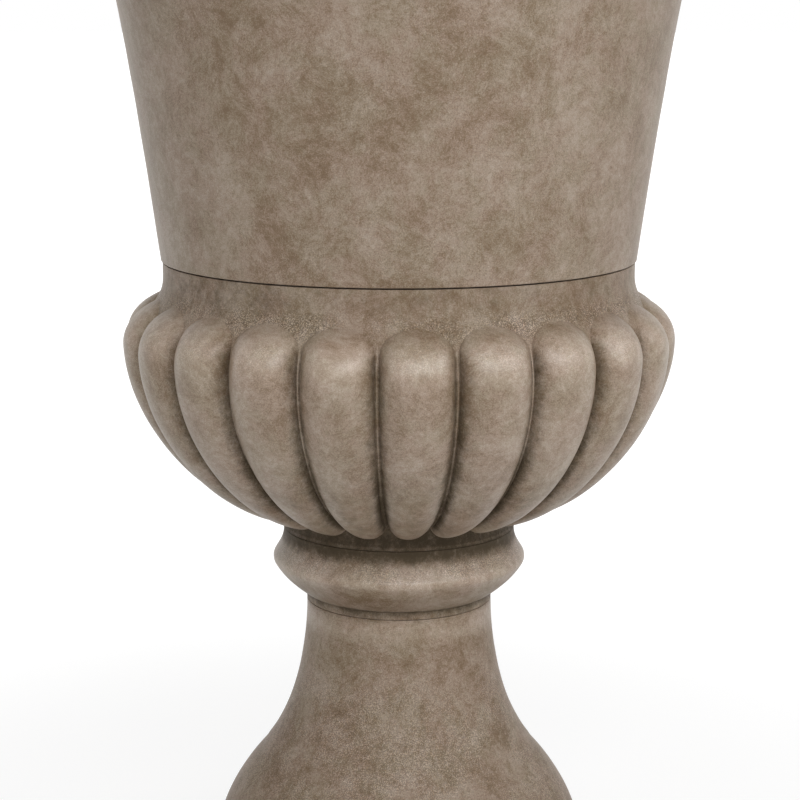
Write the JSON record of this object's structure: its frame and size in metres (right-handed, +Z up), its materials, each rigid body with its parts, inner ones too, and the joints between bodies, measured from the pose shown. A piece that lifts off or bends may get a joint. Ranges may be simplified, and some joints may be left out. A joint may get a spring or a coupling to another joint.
{
  "type": "urn planter",
  "caption": "Classical urn flower pot with flared bell, gadrooned bowl, turned collar and bell-shaped pedestal on rubber feet, bolted together, with drain plugs.",
  "frame": {"origin": "centre of the foot circle on the ground", "axes": "+Z up along the urn's axis, front towards -Y with one gadroon centred on it, +X to the right"},
  "size_m": [0.466, 0.466, 0.711],
  "materials": {
    "faux_stone": "matt mottled taupe faux stone over moulded resin",
    "black_rubber": "matt black rubber",
    "zinc_steel": "bright zinc-plated steel"
  },
  "bodies": {
    "urn": {"upper_bell": "faux_stone", "gadroon_bowl": "faux_stone", "collar": "faux_stone", "pedestal": "faux_stone", "joint_seal": "black_rubber", "bell_screw_1": "zinc_steel", "bell_screw_2": "zinc_steel", "bell_screw_3": "zinc_steel", "bell_screw_4": "zinc_steel", "bell_screw_5": "zinc_steel", "bell_screw_6": "zinc_steel", "tie_bolt": "zinc_steel", "bolt_seal": "black_rubber", "upper_washer": "zinc_steel", "lower_washer": "zinc_steel", "wing_nut": "zinc_steel", "rubber_foot_1": "black_rubber", "rubber_foot_2": "black_rubber", "rubber_foot_3": "black_rubber", "rubber_foot_4": "black_rubber"},
    "plug_1": {"drain_plug_1": "black_rubber"},
    "plug_2": {"drain_plug_2": "black_rubber"},
    "plug_3": {"drain_plug_3": "black_rubber"}
  },
  "joints": [
    {"name": "plug_1_pull", "type": "slide", "parent": "urn", "child": "plug_1", "axis": [0, 0, 1], "range_m": [0, 0.05]},
    {"name": "plug_2_pull", "type": "slide", "parent": "urn", "child": "plug_2", "axis": [0, 0, 1], "range_m": [0, 0.05]},
    {"name": "plug_3_pull", "type": "slide", "parent": "urn", "child": "plug_3", "axis": [0, 0, 1], "range_m": [0, 0.05]}
  ]
}
